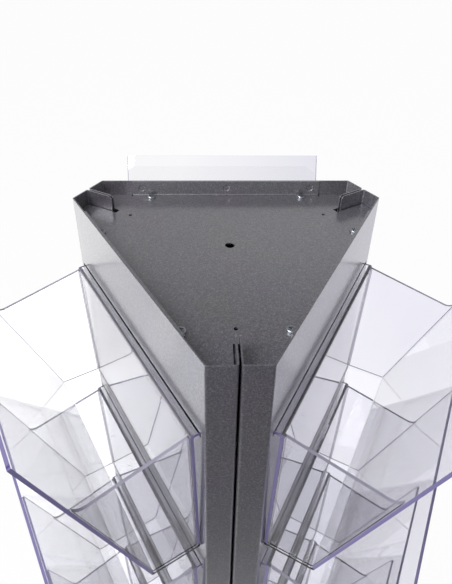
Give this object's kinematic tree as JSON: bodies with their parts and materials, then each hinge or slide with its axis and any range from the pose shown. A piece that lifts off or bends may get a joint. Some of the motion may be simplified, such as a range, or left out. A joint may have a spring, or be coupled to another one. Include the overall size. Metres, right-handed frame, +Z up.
{
  "type": "rotating brochure stand",
  "caption": "Floor-standing three-sided steel column on a round base that turns on a mast and holds clear leaflet trays hooked into slots on every face.",
  "frame": {"origin": "on the floor at the middle of the base, under the mast, on the axis the column turns about", "axes": "+Z up along the mast, -Y towards the corner of the column that faces the viewer in the picture, +Y square to the back face, +X to the right"},
  "size_m": [0.4999, 0.5, 1.4318],
  "materials": {
    "powder_coat": "grey metallic fine-texture powder coat",
    "turned_steel": "turned steel",
    "bearing_steel": "ground bearing steel",
    "cage_brass": "stamped brass",
    "bush_plastic": "natural acetal",
    "zinc": "bright zinc plate",
    "pad_rubber": "black rubber",
    "clear_acrylic": "water-clear sheet with violet cut edges"
  },
  "bodies": {
    "base": {"base_pads": "pad_rubber", "base_plate": "powder_coat", "base_bolts": "zinc", "mast_foot": "turned_steel", "mast_tube": "turned_steel", "mast_plug": "turned_steel", "lower_race": "bearing_steel", "retaining_washer": "zinc", "retaining_bolt": "zinc"},
    "cage": {"bearing_cage": "cage_brass", "bearing_balls": "bearing_steel"},
    "column": {"upper_race": "bearing_steel", "hub": "turned_steel", "lower_bush": "bush_plastic", "hub_screws": "zinc", "hub_nuts": "zinc", "bottom_plate": "powder_coat", "panel_back": "powder_coat", "panel_right": "powder_coat", "panel_left": "powder_coat", "top_plate": "powder_coat", "bearing_pan": "powder_coat", "upper_bush": "bush_plastic", "top_screws": "zinc", "top_nuts": "zinc", "tray_back_1": "clear_acrylic", "tray_back_2": "clear_acrylic", "tray_back_3": "clear_acrylic", "tray_back_4": "clear_acrylic", "tray_back_5": "clear_acrylic", "tray_back_6": "clear_acrylic", "tray_back_7": "clear_acrylic", "tray_right_1": "clear_acrylic", "tray_right_2": "clear_acrylic", "tray_right_3": "clear_acrylic", "tray_right_4": "clear_acrylic", "tray_right_5": "clear_acrylic", "tray_right_6": "clear_acrylic", "tray_right_7": "clear_acrylic", "tray_left_1": "clear_acrylic", "tray_left_2": "clear_acrylic", "tray_left_3": "clear_acrylic", "tray_left_4": "clear_acrylic", "tray_left_5": "clear_acrylic", "tray_left_6": "clear_acrylic", "tray_left_7": "clear_acrylic"}
  },
  "joints": [
    {"name": "column_turn", "type": "hinge", "parent": "base", "child": "column", "pos_m": [0, 0, 0.0314], "axis": [0, 0, 1], "continuous": true},
    {"name": "cage_turn", "type": "hinge", "parent": "base", "child": "cage", "pos_m": [0, 0, 0.0314], "axis": [0, 0, 1], "continuous": true}
  ],
  "couplings": [
    {"joint": "cage_turn", "follows": "column_turn", "ratio": 0.5}
  ]
}
